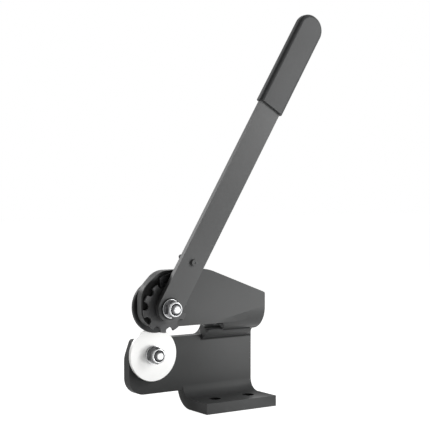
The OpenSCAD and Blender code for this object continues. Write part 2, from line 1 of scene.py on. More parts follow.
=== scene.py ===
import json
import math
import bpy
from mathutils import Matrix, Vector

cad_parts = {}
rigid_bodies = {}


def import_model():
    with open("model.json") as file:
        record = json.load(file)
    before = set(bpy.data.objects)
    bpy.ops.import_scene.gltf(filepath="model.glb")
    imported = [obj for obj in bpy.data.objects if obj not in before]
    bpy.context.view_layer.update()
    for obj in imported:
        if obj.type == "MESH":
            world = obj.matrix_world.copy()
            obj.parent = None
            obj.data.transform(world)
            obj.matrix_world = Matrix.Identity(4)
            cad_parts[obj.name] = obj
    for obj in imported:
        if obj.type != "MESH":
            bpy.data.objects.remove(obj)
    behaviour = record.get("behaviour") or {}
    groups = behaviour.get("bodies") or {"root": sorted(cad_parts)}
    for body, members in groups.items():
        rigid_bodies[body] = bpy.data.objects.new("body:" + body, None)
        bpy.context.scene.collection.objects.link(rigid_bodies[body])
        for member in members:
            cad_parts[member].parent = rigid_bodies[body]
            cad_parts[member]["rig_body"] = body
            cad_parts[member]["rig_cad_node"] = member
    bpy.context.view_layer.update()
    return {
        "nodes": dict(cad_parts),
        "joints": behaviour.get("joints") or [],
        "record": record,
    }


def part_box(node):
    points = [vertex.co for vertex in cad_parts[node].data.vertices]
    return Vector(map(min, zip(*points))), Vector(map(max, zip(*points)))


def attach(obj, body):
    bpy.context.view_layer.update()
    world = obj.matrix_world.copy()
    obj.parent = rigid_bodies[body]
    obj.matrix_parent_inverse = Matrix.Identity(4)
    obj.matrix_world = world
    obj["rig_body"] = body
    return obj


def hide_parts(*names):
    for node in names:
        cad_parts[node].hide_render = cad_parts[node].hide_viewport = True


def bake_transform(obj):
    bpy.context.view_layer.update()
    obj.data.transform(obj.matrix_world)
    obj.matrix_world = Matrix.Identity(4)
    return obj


bl_info = {
    "name": "Rotary Sheet Metal Shear",
    "version": (1, 0, 0),
    "blender": (4, 5, 0),
    "location": "3D View > Sidebar > Shear",
    "description": "Dresses the packed shear: plate, lever and grip, blades, ratchet, fasteners",
    "category": "Object",
}

import bpy
from bpy.props import FloatProperty, FloatVectorProperty, IntProperty, PointerProperty
from mathutils import Matrix, Vector

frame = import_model()
MM = 0.001


def joint_point(name):
    """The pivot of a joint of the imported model."""
    return Vector(next(j["pos_m"] for j in frame["joints"] if j["name"] == name))


UPPER_AXIS = joint_point("lever_swing")
LOWER_AXIS = joint_point("lower_blade_spin")
PAWL_PIN = joint_point("pawl_lift")
LEVER_ANGLE = math.atan2(PAWL_PIN.z - UPPER_AXIS.z, PAWL_PIN.x - UPPER_AXIS.x)

MERGE_DISTANCE = 1e-6  # points closer than this are one point, in metres
FLAT_ANGLE = 0.2  # faces that meet at less than this are one flat side, in degrees
SHARP = 30.0  # edges that turn by more than this are sharp, in degrees
SHARP_BEVELLED = 60.0  # the same once the edges are rounded
SHARP_ROUND = 50.0  # on rings, the wire and the grip
SHARP_HEX = 25.0  # on a hexagon
SHARP_HEX_BEVELLED = 40.0  # on a hexagon once its edges are rounded
NEAR = 0.1 * MM  # a point this close to a side lies on it
LOOKS_DOWN = -0.9  # a face looks down the lever when its normal's X is below this
GRIP_TOP_STEPS = 20  # faces round each corner of the grip's top
GRIP_EDGE_STEPS = 10  # faces round the grip's long edges
SPECULAR = 0.15  # weak shine of the finishes, which keeps their dark tones dark
THREAD_STEPS = 36  # faces of a thread ridge in each turn
THREAD_SINK = 0.985  # a ridge starts inside the core, at this share of its radius
RIDGE_ROOT = 0.45  # half the ridge's width at its root, as a share of the pitch
RIDGE_CREST = 0.07  # half the ridge's width at its crest, as a share of the pitch
CUTTER_STEPS = 96  # faces of the cone that cuts a hexagon's corners
HEX_FLAT = 0.97  # radius of a hexagon's flat end, as a share of half its width
HEX_CORNER = 1.01  # the cone reaches just past the corners
INSERT_LAP = 1.9  # the nylon reaches under the collar by this many lip radii
NO_END = -1.0  # left end of a crevice that has none: X in metres, left of the part
CREVICE_CORE = 0.2  # share of a seam's shade that is at its darkest
ALONG_X = (0.0, 1.0, 1.0)  # counts the distance from a line along X
ROUND_Y = (1.0, 0.0, 1.0)  # counts the distance from a line along Y
UPRIGHT = (1.0, 1.0, 0.15)  # counts the distance from an upright line, and its ends a little

# Patches of painted shade and painted light on the plate's coat. Each has its middle in mm, how
# much each axis counts in the distance from it, and the distances in mm where the patch is full and
# where it ends.
PATCHES = {
    # Painted shade in the foot's bend and on its top.
    "bend": ((0.0, 14.0, 12.0), ALONG_X, 4.0, 34.0),
    # Painted shade, darker towards the arm at the web's lower left.
    "arm": ((-100.0, 27.0, 40.0), (1.0, 1.0, 1.6), 30.0, 140.0),
    # Painted shadow of the lever and the wheel on the head's face.
    "wheel_shadow": ((-104.0, -1.0, 126.0), (1.0, 6.0, 1.0), 21.0, 29.0),
    # Painted light inside the relief and on its right wall.
    "pocket": ((-12.0, 24.0, 93.5), (0.6, 0.8, 1.6), 5.5, 8.5),
    "lip": ((-4.5, 13.0, 92.5), (1.0, 0.7, 1.2), 2.3, 3.9),
    # Painted light on the foot's front face and along its top edge.
    "front": ((0.0, -22.5, 0.0), (0.0, 1.0, 0.0), 0.6, 1.6),
    # Painted shade on the foot at its right end.
    "end": ((70.0, -10.0, 12.0), (1.0, 0.5, 4.0), 15.0, 60.0),
    # Painted light on the head's left rim.
    "nose": ((-121.4, 5.0, 130.0), (1.0, 0.3, 0.25), 3.0, 7.0),
}

# Finishes. Each has the names of the settings for its colour and its roughness, then how its
# grain, tone and bump differ from a plain finish.
COAT_GRAIN = {"grain": 1100.0, "bump": 0.03, "contrast": 0.04}
OXIDE_GRAIN = {"grain": 700.0, "bump": 0.015, "contrast": 0.1}
FINISHES = {
    "Plate coat": ("coat", "coat", COAT_GRAIN),
    # Painted light: the lever's coat is the plate's coat made lighter.
    "Lever coat": ("lever", "coat", COAT_GRAIN),
    "Grip vinyl": ("vinyl", "vinyl", {"grain": 500.0, "contrast": 0.04}),
    "Black oxide": ("black", "black", OXIDE_GRAIN),
    # Painted light: the wheel's steel is the black oxide made lighter.
    "Wheel steel": ("wheel", "black", OXIDE_GRAIN),
    # Blackened steel, and painted shade: the pawl is the black oxide made darker.
    "Pawl steel": ("pawl", "black", OXIDE_GRAIN),
    "Zinc plate": ("zinc", "zinc", {"metallic": 1.0, "grain": 600.0, "bump": 0.006,
                                    "contrast": 0.25, "tone_scale": 240.0}),
    # Painted reflections and shade: the zinc plate made darker, with strong streaks, for hexagon
    # flats and threads.
    "Dulled zinc": ("shaded_zinc", "shaded_zinc", {"metallic": 1.0, "grain": 350.0, "spread": 0.2,
                                     "contrast": 0.5, "tone_scale": 200.0}),
    "Ground steel": ("ground", "ground", {"metallic": 0.51, "bump": 0.004, "contrast": 0.03,
                                          "centre": LOWER_AXIS}),
    "Spring wire": ("wire", "wire", {"metallic": 1.0, "grain": 700.0, "bump": 0.004}),
    "Bronze": ("bronze", "bronze", {"metallic": 1.0, "bump": 0.01}),
    "Nylon": ("nylon", "nylon", {"bump": 0.01}),
}

# Lamps. Each has its place, the point it looks at, its width and its height, all in metres.
LAMPS = {
    "key": ((0.55, -0.58, 0.38), (-0.04, 0.0, 0.18), 0.18, 0.24),
    "high_key": ((0.73, -0.64, 0.66), (-0.04, 0.0, 0.20), 0.18, 0.24),
    "low_key": ((0.36, -0.46, 0.05), (0.0, 0.0, 0.08), 0.20, 0.10),
    "rim": ((-0.42, 0.70, 0.68), (-0.02, 0.0, 0.28), 0.30, 0.55),
    "bounce": ((0.05, -0.22, 0.002), (0.05, -0.22, 1.0), 0.4, 0.2),
}


# Settings

def colour(name, description, value):
    return FloatVectorProperty(name=name, description=description, subtype="COLOR", size=3,
                               min=0.0, max=1.0, default=value)


def length(name, description, value, low=0.0):
    return FloatProperty(name=name, description=description, subtype="DISTANCE",
                         unit="LENGTH", min=low, default=value)


def point(name, description, value):
    return FloatVectorProperty(name=name, description=description, subtype="TRANSLATION",
                               unit="LENGTH", size=3, default=value)


def share(name, description, value, high=1.0):
    return FloatProperty(name=name, description=description, subtype="FACTOR",
                         min=0.0, max=high, default=value)


def count(name, description, value, low, high):
    return IntProperty(name=name, description=description, min=low, max=high, default=value)


def power(name, description, value):
    return FloatProperty(name=name, description=description, min=0.0, default=value)


class ShearFinishes(bpy.types.PropertyGroup):
    coat: colour("Powder coat", "Satin dark grey coat on plate and lever", (0.100, 0.102, 0.102))
    # Painted light: the lever's coat is the plate's coat made lighter.
    lever: colour("Lever coat", "The same coat on the lever, painted lighter to stand in for light",
                  (0.142, 0.144, 0.144))
    coat_roughness: share("Coat roughness", "Roughness of the powder coat", 0.34)
    vinyl: colour("Grip vinyl", "Dipped vinyl of the grip", (0.086, 0.088, 0.089))
    vinyl_roughness: share("Vinyl roughness", "Roughness of the dipped vinyl", 0.36)
    black: colour("Black oxide", "Blackened steel of the upper blade", (0.075, 0.076, 0.078))
    # Painted light: the wheel's steel is the black oxide made lighter.
    wheel: colour("Wheel steel", "Steel of the ratchet wheel, the black oxide painted lighter to stand in for light", (0.14, 0.141, 0.143))
    # Blackened steel, and painted shade: the pawl is the black oxide made darker.
    pawl: colour("Pawl steel", "Blackened steel of the pawl, painted darker for the shadow it lies in", (0.03, 0.03, 0.032))
    black_roughness: share("Black oxide roughness", "Roughness of blackened steel", 0.42)
    zinc: colour("Zinc plate", "Bright plating of nuts, washers and spindles", (0.50, 0.505, 0.51))
    zinc_roughness: share("Zinc roughness", "Roughness of the plating", 0.24)
    # Painted reflections and shade: the zinc plate made darker for hexagon flats and threads.
    shaded_zinc: colour("Dulled zinc", "Plating in hexagon flats and threads", (0.13, 0.13, 0.134))
    shaded_zinc_roughness: share("Dulled zinc roughness", "Roughness of the plating painted darker", 0.34)
    ground: colour("Ground steel", "Ground face of the lower blade", (0.80, 0.80, 0.79))
    ground_roughness: share("Ground steel roughness", "Roughness of the ground face", 0.5)
    wire: colour("Spring wire", "Drawn wire of the pawl's spring", (0.36, 0.36, 0.37))
    wire_roughness: share("Wire roughness", "Roughness of the drawn wire", 0.3)
    bronze: colour("Bronze", "Oiled sintered bronze of the bushes", (0.42, 0.27, 0.12))
    bronze_roughness: share("Bronze roughness", "Roughness of the bronze", 0.45)
    nylon: colour("Nylon", "Locking insert of the nuts", (0.03, 0.032, 0.04))
    nylon_roughness: share("Nylon roughness", "Roughness of the nylon", 0.5)


class ShearPlate(bpy.types.PropertyGroup):
    seam_low_y: length("Seam's lower edge, Y", "Depth of the weld seam's lower edge", 27.0 * MM)
    seam_low_z: length("Seam's lower edge, Z", "Height of the weld seam's lower edge", 76.7 * MM)
    seam_high_y: length("Seam's upper edge, Y", "Depth of the weld seam's upper edge", 14.8 * MM)
    seam_high_z: length("Seam's upper edge, Z", "Height of the weld seam's upper edge", 87.2 * MM)
    seam_left: length("Seam's left end", "X where the lower edge starts", -25.0 * MM, NO_END)
    relief_right: length("Relief's right end", "X where the upper edge starts", -2.0 * MM, NO_END)
    # Painted shade along both edges of the weld seam.
    crevice: length("Crevice", "Reach of the shade beside the seam", 2.2 * MM)
    crevice_tone: share("Crevice tone", "Share of the coat's tone left in a crevice", 0.35)
    hole_x: length("Bolt hole", "Distance of a bolt hole from the middle", 23.0 * MM)
    hole_middle: length("Hole middle", "Height of a bolt hole's middle", 6.0 * MM)
    hole_radius: length("Hole radius", "Radius of a bolt hole", 6.6 * MM)
    hole_rim: length("Hole rim", "Width of the shade round a bolt hole", 0.5 * MM)
    # Painted shade inside the bolt holes.
    hole_tone: share("Hole tone", "Share of the coat's tone left in a bolt hole", 0.12)
    # Painted shade in the foot's bend.
    bend_tone: share("Bend tone", "Share of the coat's tone left in the dust of the bend", 0.7)
    # Painted shade towards the arm.
    arm_tone: share("Arm tone", "Share of the coat's tone left in the painted shade towards the arm", 0.7)
    # Painted shadow of the lever and the wheel on the head's face.
    wheel_shadow_tone: share("Wheel shadow tone", "Share of the coat's tone left in the painted shadow behind the wheel", 0.1)
    # Painted light inside the relief and on its right wall.
    pocket_tone: share("Pocket tone", "Painted light inside the relief", 3.2, 5.0)
    lip_tone: share("Lip tone", "Painted light on the relief's right wall", 3.4, 5.0)
    # Painted light on the foot's front.
    front_tone: share("Front tone", "Painted light on the foot's front", 1.22, 5.0)
    # Painted shade on the foot at its right end.
    end_tone: share("End tone", "Painted shade at the foot's right end", 0.6, 5.0)
    # Painted light on the head's left rim.
    nose_tone: share("Nose tone", "Painted light on the head's left rim", 1.8, 5.0)
    # Painted shadow on the lever round the washer.
    washer_inner: length("Washer painted shadow", "Radius where painted shadow round the washer thins out", 10.4 * MM)
    washer_outer: length("Washer painted shadow end", "Radius where the lever is free of painted shadow", 13.2 * MM)
    washer_tone: share("Washer tone", "Share of the lever's tone left round the washer", 0.2)
    # Roughness added where shade is painted.
    darkening_roughness: share("Darkening roughness", "Roughness that full dust adds to the coat", 0.6)
    fold_low: point("Fold from", "Lowest corner of the box round the head's fold",
                    (-26.0 * MM, -1.1 * MM, 90.0 * MM))
    fold_high: point("Fold to", "Highest corner of the box round the head's fold",
                     (45.0 * MM, 9.0 * MM, 114.0 * MM))
    fold_front: share("Fold front", "How far forwards a face of the fold has to look", 0.5)
    fold_face: FloatProperty(name="Fold face", description="Largest face of the fold",
                             unit="AREA", min=0.0, default=300.0 * MM * MM)
    fold_cuts: count("Fold cuts", "Cuts across each face of the fold", 5, 1, 10)
    fold_rounds: count("Fold rounds", "Rounds of evening of the fold", 20, 0, 100)


class ShearEdges(bpy.types.PropertyGroup):
    plate: length("Plate edge", "Rounding of the plate's cut edges", 0.6 * MM)
    bar: length("Bar edge", "Rounding of the flat bar's edges", 0.7 * MM)
    wheel: length("Wheel edge", "Rounding of wheel and pawl", 0.3 * MM)
    blade: length("Blade edge", "Rounding of the blades' edges", 0.12 * MM)
    washer: length("Washer edge", "Rounding of washers, pin and spacers", 0.25 * MM)


class ShearGrip(bpy.types.PropertyGroup):
    end_radius: length("End radius", "Radius of the corners at the grip's top", 17.4 * MM)
    edge_radius: length("Edge radius", "Radius of the grip's long edges", 4.5 * MM)
    wall: length("Wall", "Wall of the dipped grip", 3.0 * MM)
    lip_depth: length("Lip depth", "Depth of the open end round the bar", 2.0 * MM)
    lip_edge: length("Lip edge", "Rounding of the open end", 0.5 * MM)


class ShearSpring(bpy.types.PropertyGroup):
    leg_start: length("Leg start", "Distance from the pin where the leg starts to bend", 1.0 * MM)
    leg_end: length("Leg end", "Distance from the pin where the leg moves with the pawl", 8.0 * MM)


class ShearFasteners(bpy.types.PropertyGroup):
    thread_radius: length("Thread radius", "Radius over the thread's crests", 5.0 * MM)
    core_radius: length("Core radius", "Radius at the thread's roots", 4.25 * MM)
    pitch: length("Pitch", "Pitch of the thread", 1.5 * MM)
    across_flats: length("Across flats", "Width of nuts and bolt head", 17.0 * MM)
    bevel: length("Bevel", "Height of the bevel on a hexagon's corners", 1.3 * MM)
    nut_edge: length("Nut edge", "Rounding of a hexagon's edges", 0.25 * MM)
    lock_radius: length("Locking collar radius", "Radius of a nut's locking collar", 8.2 * MM)
    lock_height: length("Locking collar height", "Height of a nut's locking collar", 2.6 * MM)
    lock_lip: length("Locking collar lip", "Radius of the collar's crimped lip", 1.05 * MM)
    insert_depth: length("Insert depth", "Depth of the nylon below the collar's lip", 1.3 * MM)
    insert_gap: length("Insert gap", "Gap between thread and nylon", 0.1 * MM)
    tip: length("Tip", "Bevel at a thread's end", 0.7 * MM)
    side_gap: length("Side gap", "Gap between the head and the spindle's collar", 0.3 * MM)
    seat_radius: length("Seat radius", "Radius of the spindle's seats", 6.0 * MM)
    journal_radius: length("Journal radius", "Radius of the spindle in its bush", 8.0 * MM)
    collar_radius: length("Collar radius", "Radius of the spindle's collar", 13.0 * MM)
    lathe_steps: count("Lathe steps", "Faces round a turned part", 64, 24, 128)


class ShearStage(bpy.types.PropertyGroup):
    camera_place: point("Camera place", "Where the camera stands", (-0.74434, -1.07022, 0.25458))
    camera_turn: FloatVectorProperty(name="Camera turn", description="Tilt, roll and heading",
                                     subtype="EULER", unit="ROTATION", size=3,
                                     default=(math.radians(88.426), 0.0, math.radians(-33.98)))
    lens_mm: FloatProperty(name="Lens", description="Focal length in millimetres", min=20.0,
                           max=300.0, default=96.28)
    key_power: power("Key", "Power of the panel at front right", 1.75)
    high_key_power: power("High key", "Power of the panel at upper right", 2.8)
    low_key_power: power("Low key", "Power of the low panel in front", 0.7)
    rim_power: power("Rim", "Power of the panel behind at the left", 4.4)
    bounce_power: power("Bounce", "Power of the card on the floor", 0.32)
    ambient: share("Ambient", "Strength of the studio's even light", 0.03)
    floor_colour: share("Floor", "Grey level of the floor in bounced light", 0.5)
    floor_glow: share("Floor glow", "Light that whitens the floor for the camera", 1.0)


# Selection and finishing helpers

def settings():
    return bpy.context.scene.shear


def enter_edit():
    bpy.ops.object.mode_set(mode="EDIT")


def leave_edit():
    bpy.ops.object.mode_set(mode="OBJECT")


def deselect_all():
    bpy.ops.object.select_all(action="DESELECT")


def work_on(piece):
    """Makes one object the only selected and active one."""
    if bpy.context.object and bpy.context.object.mode != "OBJECT":
        leave_edit()
    deselect_all()
    bpy.context.view_layer.objects.active = piece
    piece.select_set(True)


def edit_all(piece):
    """Opens edit mode with the whole piece selected."""
    work_on(piece)
    enter_edit()
    bpy.ops.mesh.select_all(action="SELECT")


def edit_some(piece, mode, elements, test):
    """Opens edit mode with those faces or edges selected that pass the test."""
    work_on(piece)
    enter_edit()
    bpy.ops.mesh.select_mode(type=mode)
    bpy.ops.mesh.select_all(action="DESELECT")
    leave_edit()
    for element in elements:
        element.select = test(element)
    enter_edit()


def edge_ends(piece, edge):
    return [piece.data.vertices[i].co for i in edge.vertices]


def bake_place():
    bpy.ops.object.transform_apply(location=True, rotation=True, scale=True)


def add_modifier(piece, kind, **values):
    """Adds one modifier with the given values and applies it."""
    work_on(piece)
    modifier = piece.modifiers.new(kind.title(), kind)
    for key, value in values.items():
        setattr(modifier, key, value)
    bpy.ops.object.modifier_apply(modifier=modifier.name)


def place(piece, matrix):
    """Bakes a placement into the mesh, so that the object stays at the origin."""
    piece.matrix_world = matrix @ piece.matrix_world
    work_on(piece)
    bake_place()


def smooth(piece, degrees=SHARP):
    work_on(piece)
    bpy.ops.object.shade_smooth_by_angle(angle=math.radians(degrees))
    return piece


def round_edges(piece, width, segments=3, degrees=SHARP):
    """Rounds the sharp edges and keeps the flat faces flat in shading."""
    smooth(piece, degrees)
    add_modifier(piece, "BEVEL", width=width, segments=segments, limit_method="ANGLE",
                 angle_limit=math.radians(degrees), miter_outer="MITER_ARC")
    smooth(piece, SHARP_BEVELLED)
    add_modifier(piece, "WEIGHTED_NORMAL", mode="FACE_AREA")


def outward(piece):
    """Merges doubles and turns all faces outwards."""
    edit_all(piece)
    bpy.ops.mesh.remove_doubles(threshold=MERGE_DISTANCE)
    bpy.ops.mesh.normals_make_consistent(inside=False)
    leave_edit()
    return piece


def finish_piece(piece, name, body, slot_name, material, *nodes):
    """Names a piece, gives it its finish and tells the frame what it is.

    A piece that rides on no body has None for its body.
    """
    piece.name = name
    piece.data.name = name
    piece.data.materials.clear()
    piece.data.materials.append(material)
    if body:
        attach(piece, body)
    if nodes:
        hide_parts(*nodes)


def node_copy(node):
    """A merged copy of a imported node, with one face for each flat side."""
    work_on(frame["nodes"][node])
    bpy.ops.object.duplicate(linked=False)
    piece = bpy.context.object
    bpy.ops.object.parent_clear(type="CLEAR_KEEP_TRANSFORM")
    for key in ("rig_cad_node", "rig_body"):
        del piece[key]
    bpy.ops.mesh.customdata_custom_splitnormals_clear()
    edit_all(piece)
    bpy.ops.mesh.remove_doubles(threshold=MERGE_DISTANCE)
    bpy.ops.mesh.dissolve_limited(angle_limit=math.radians(FLAT_ANGLE))
    leave_edit()
    return piece


def body_of_node(node):
    bodies = frame["record"]["behaviour"]["bodies"]
    return next(body for body, nodes in bodies.items() if node in nodes)


def dress(node, width, slot_name, material, segments=3):
    """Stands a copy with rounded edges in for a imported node."""
    piece = node_copy(node)
    round_edges(piece, width, segments)
    finish_piece(piece, node + "_dressed", body_of_node(node), slot_name, material, node)
    return piece


# Materials

def node_in(tree, kind, sockets=None, **values):
    """Adds a node, sets its values, and links or sets its inputs, by their name or number."""
    made = tree.nodes.new(kind)
    for key, value in values.items():
        setattr(made, key, value)
    for key, value in (sockets or {}).items():
        if isinstance(value, bpy.types.NodeSocket):
            tree.links.new(value, made.inputs[key])
        else:
            made.inputs[key].default_value = value
    return made


def new_group(name, inputs, outputs):
    """A shader node group with named sockets, what it is given, and its ends."""
    group = bpy.data.node_groups.new(name, "ShaderNodeTree")
    for label, kind, value in inputs:
        socket = group.interface.new_socket(label, in_out="INPUT", socket_type="NodeSocket" + kind)
        socket.default_value = value
    for label, kind in outputs:
        group.interface.new_socket(label, in_out="OUTPUT", socket_type="NodeSocket" + kind)
    given = node_in(group, "NodeGroupInput").outputs
    ends = node_in(group, "NodeGroupOutput").inputs
    return group, given, ends


def calculate(tree, operation, *inputs, **values):
    """The result of a math node that takes its inputs in order."""
    made = node_in(tree, "ShaderNodeMath", dict(enumerate(inputs)), operation=operation, **values)
    return made.outputs[0]


def object_place(tree):
    return node_in(tree, "ShaderNodeTexCoord").outputs["Object"]


def distance(tree, centre, across):
    """Distance from a centre, in which each axis counts as much as the across vector says."""
    shift = node_in(tree, "ShaderNodeVectorMath", {0: object_place(tree), 1: centre},
                    operation="SUBTRACT")
    flat = node_in(tree, "ShaderNodeVectorMath", {0: shift.outputs["Vector"], 1: across},
                   operation="MULTIPLY")
    out = node_in(tree, "ShaderNodeVectorMath", {0: flat.outputs["Vector"]}, operation="LENGTH")
    return out.outputs["Value"]


def grain_group():
    """Fine grain of a surface: a height for bump and a roughness that varies with it."""
    group, given, ends = new_group(
        "Fine grain",
        [("Scale", "Float", 900.0), ("Patch scale", "Float", 24.0),
         ("Roughness", "Float", 0.5), ("Spread", "Float", 0.08)],
        [("Height", "Float"), ("Roughness", "Float")])
    place_in = object_place(group)
    fine = node_in(group, "ShaderNodeTexNoise",
                   {"Vector": place_in, "Scale": given["Scale"], "Detail": 3.0})
    patches = node_in(group, "ShaderNodeTexNoise",
                      {"Vector": place_in, "Scale": given["Patch scale"], "Detail": 4.0})
    centred = calculate(group, "SUBTRACT", patches.outputs["Fac"], 0.5)
    spread = calculate(group, "MULTIPLY", centred, given["Spread"])
    total = calculate(group, "ADD", spread, given["Roughness"], use_clamp=True)
    group.links.new(fine.outputs["Fac"], ends["Height"])
    group.links.new(total, ends["Roughness"])
    return group


def tone_group():
    """Slight change of tone over a surface, between a darker and a lighter share of a colour."""
    group, given, ends = new_group(
        "Tone",
        [("Colour", "Color", (0.5, 0.5, 0.5, 1.0)), ("Scale", "Float", 18.0),
         ("Low", "Float", 0.92), ("High", "Float", 1.06)],
        [("Colour", "Color")])
    noise = node_in(group, "ShaderNodeTexNoise",
                    {"Vector": object_place(group), "Scale": given["Scale"], "Detail": 5.0,
                     "Roughness": 0.6})
    level = node_in(group, "ShaderNodeMapRange",
                    {"Value": noise.outputs["Fac"], "From Min": 0.3, "From Max": 0.7,
                     "To Min": given["Low"], "To Max": given["High"]})
    scaled = node_in(group, "ShaderNodeVectorMath",
                     {0: given["Colour"], "Scale": level.outputs["Result"]}, operation="SCALE")
    group.links.new(scaled.outputs["Vector"], ends["Colour"])
    return group


def turned_group():
    """Fine rings round the part's own axis, as turning or grinding leaves them."""
    group, given, ends = new_group(
        "Turned rings",
        [("Centre", "Vector", (0.0, 0.0, 0.0)), ("Scale", "Float", 900.0)],
        [("Height", "Float")])
    rings = node_in(group, "ShaderNodeTexNoise",
                    {"W": distance(group, given["Centre"], ROUND_Y), "Scale": given["Scale"],
                     "Detail": 4.0}, noise_dimensions="1D")
    group.links.new(rings.outputs["Fac"], ends["Height"])
    return group


def crevice_group():
    """A mask that goes from one to a tone of its own close to a line or patch: painted shade where
    the tone is below one, painted light where it is above.
    """
    group, given, ends = new_group(
        "Crevice",
        [("Centre", "Vector", (0.0, 0.0, 0.0)), ("Across", "Vector", ALONG_X),
         ("Inner", "Float", 0.0), ("Outer", "Float", 0.002),
         ("Low", "Float", 0.4), ("From X", "Float", NO_END),
         ("Mask in", "Float", 1.0)],
        [("Mask", "Float")])
    fall = node_in(group, "ShaderNodeMapRange",
                   {"Value": distance(group, given["Centre"], given["Across"]),
                    "From Min": given["Inner"], "From Max": given["Outer"],
                    "To Min": given["Low"]}, interpolation_type="SMOOTHSTEP")
    split = node_in(group, "ShaderNodeSeparateXYZ", {"Vector": object_place(group)})
    left_of = calculate(group, "LESS_THAN", split.outputs["X"], given["From X"])
    either = calculate(group, "MAXIMUM", fall.outputs["Result"], left_of)
    total = calculate(group, "MULTIPLY", either, given["Mask in"])
    group.links.new(total, ends["Mask"])
    return group


GROUPS = {"Fine grain": grain_group, "Tone": tone_group, "Turned rings": turned_group,
          "Crevice": crevice_group}


def group_in(tree, name, sockets):
    """Adds a node with one of the groups, which is built when it is first asked for."""
    group = bpy.data.node_groups.get(name) or GROUPS[name]()
    return node_in(tree, "ShaderNodeGroup", sockets, node_tree=group)


def crevice(centre, across, inner, outer, tone, left_end=NO_END):
    """What the crevice group takes for one line or patch."""
    return {"Centre": centre, "Across": across, "Inner": inner, "Outer": outer, "Low": tone,
            "From X": left_end}


def shade_crevices(made, crevices):
    """Paints shade or light into the tone of a finish in each crevice or patch, and makes it
    rougher where it is painted darker.
    """
    tree = made.node_tree
    shader = tree.nodes["Principled BSDF"]
    tone = shader.inputs["Base Color"].links[0].from_socket
    gloss = shader.inputs["Roughness"].links[0].from_socket
    mask = 1.0
    for values in crevices:
        mask = group_in(tree, "Crevice", {**values, "Mask in": mask}).outputs["Mask"]
    # Painted shade and painted light: the finish's tone scaled by the mask.
    shaded = node_in(tree, "ShaderNodeVectorMath", {0: tone, "Scale": mask}, operation="SCALE")
    darkening = calculate(tree, "SUBTRACT", 1.0, mask, use_clamp=True)
    rough = calculate(tree, "MULTIPLY_ADD", darkening, settings().plate.darkening_roughness, gloss,
                      use_clamp=True)
    tree.links.new(shaded.outputs["Vector"], shader.inputs["Base Color"])
    tree.links.new(rough, shader.inputs["Roughness"])
    return made


def material(name, tone, roughness, metallic=0.0, grain=900.0, bump=0.02, spread=0.08,
             contrast=0.07, tone_scale=18.0, centre=None):
    """A finish with its own tone, grain and roughness; with a centre it is turned, not grained."""
    made = bpy.data.materials.new(name)
    made.use_nodes = True
    tree = made.node_tree
    shader = tree.nodes["Principled BSDF"]
    shader.inputs["Metallic"].default_value = metallic
    shader.inputs["Specular IOR Level"].default_value = SPECULAR
    tones = group_in(tree, "Tone", {"Colour": (*tone, 1.0), "Scale": tone_scale,
                                    "Low": 1.0 - contrast, "High": 1.0 + contrast})
    grains = group_in(tree, "Fine grain",
                      {"Scale": grain, "Roughness": roughness, "Spread": spread})
    height = grains.outputs["Height"]
    if centre is not None:
        height = group_in(tree, "Turned rings", {"Centre": centre}).outputs["Height"]
    relief = node_in(tree, "ShaderNodeBump",
                     {"Strength": 1.0, "Distance": bump * MM, "Height": height})
    tree.links.new(tones.outputs["Colour"], shader.inputs["Base Color"])
    tree.links.new(grains.outputs["Roughness"], shader.inputs["Roughness"])
    tree.links.new(relief.outputs["Normal"], shader.inputs["Normal"])
    return made


def finish(name):
    """One of the finishes, made when it is first asked for."""
    if name in bpy.data.materials:
        return bpy.data.materials[name]
    tone, roughness, values = FINISHES[name]
    look = settings().finishes
    return material(name, getattr(look, tone), getattr(look, roughness + "_roughness"), **values)


def lever_coat():
    """The lever's coat, painted lighter, with a painted shadow round the washer."""
    plate = settings().plate
    # Painted shadow round the washer.
    return shade_crevices(finish("Lever coat"),
                          [crevice(UPPER_AXIS, ROUND_Y, plate.washer_inner, plate.washer_outer,
                                   plate.washer_tone)])


def plate_coat():
    """The plate's coat, with painted shade along the weld seam and in the bolt holes, and its
    patches of painted shade and painted light.
    """
    plate = settings().plate
    # Painted shade along both edges of the weld seam.
    seam = [crevice((0.0, y, z), ALONG_X, CREVICE_CORE * plate.crevice, plate.crevice,
                    plate.crevice_tone, left)
            for y, z, left in ((plate.seam_low_y, plate.seam_low_z, plate.seam_left),
                               (plate.seam_high_y, plate.seam_high_z, plate.relief_right))]
    # Painted shade inside the bolt holes.
    holes = [crevice((side * plate.hole_x, 0.0, plate.hole_middle), UPRIGHT, plate.hole_radius,
                     plate.hole_radius + plate.hole_rim, plate.hole_tone)
             for side in (-1.0, 1.0)]
    # Patches of painted shade and painted light.
    patches = [crevice([c * MM for c in middle], across, inner * MM, outer * MM,
                       getattr(plate, name + "_tone"))
               for name, (middle, across, inner, outer) in PATCHES.items()]
    return shade_crevices(finish("Plate coat"), seam + holes + patches)


# Shapes

def lever_frame():
    """Places a piece that was made along +X, with +Z to the lever's left."""
    turn = Matrix.Rotation(-LEVER_ANGLE, 4, "Y")
    return Matrix.Translation(UPPER_AXIS) @ turn


def y_axis_frame(axis, y, forwards):
    """Places a piece that was made along +Z on an axis parallel to Y."""
    turn = Matrix.Rotation(math.radians(90.0 if forwards else -90.0), 4, "X")
    return Matrix.Translation((axis.x, y, axis.z)) @ turn


def turned(profile, steps):
    """Spins an outline of (radius, height) points round Z into a closed piece."""
    deselect_all()
    bpy.ops.mesh.primitive_plane_add(size=MM)
    piece = bpy.context.object
    edit_all(piece)
    bpy.ops.mesh.delete(type="VERT")
    leave_edit()
    points = [(radius, 0.0, height) for radius, height in profile]
    piece.data.from_pydata(points, [(i, i + 1) for i in range(len(points) - 1)], [])
    edit_all(piece)
    bpy.ops.mesh.spin(steps=steps, angle=2.0 * math.pi, center=(0.0, 0.0, 0.0),
                      axis=(0.0, 0.0, 1.0))
    leave_edit()
    return outward(piece)


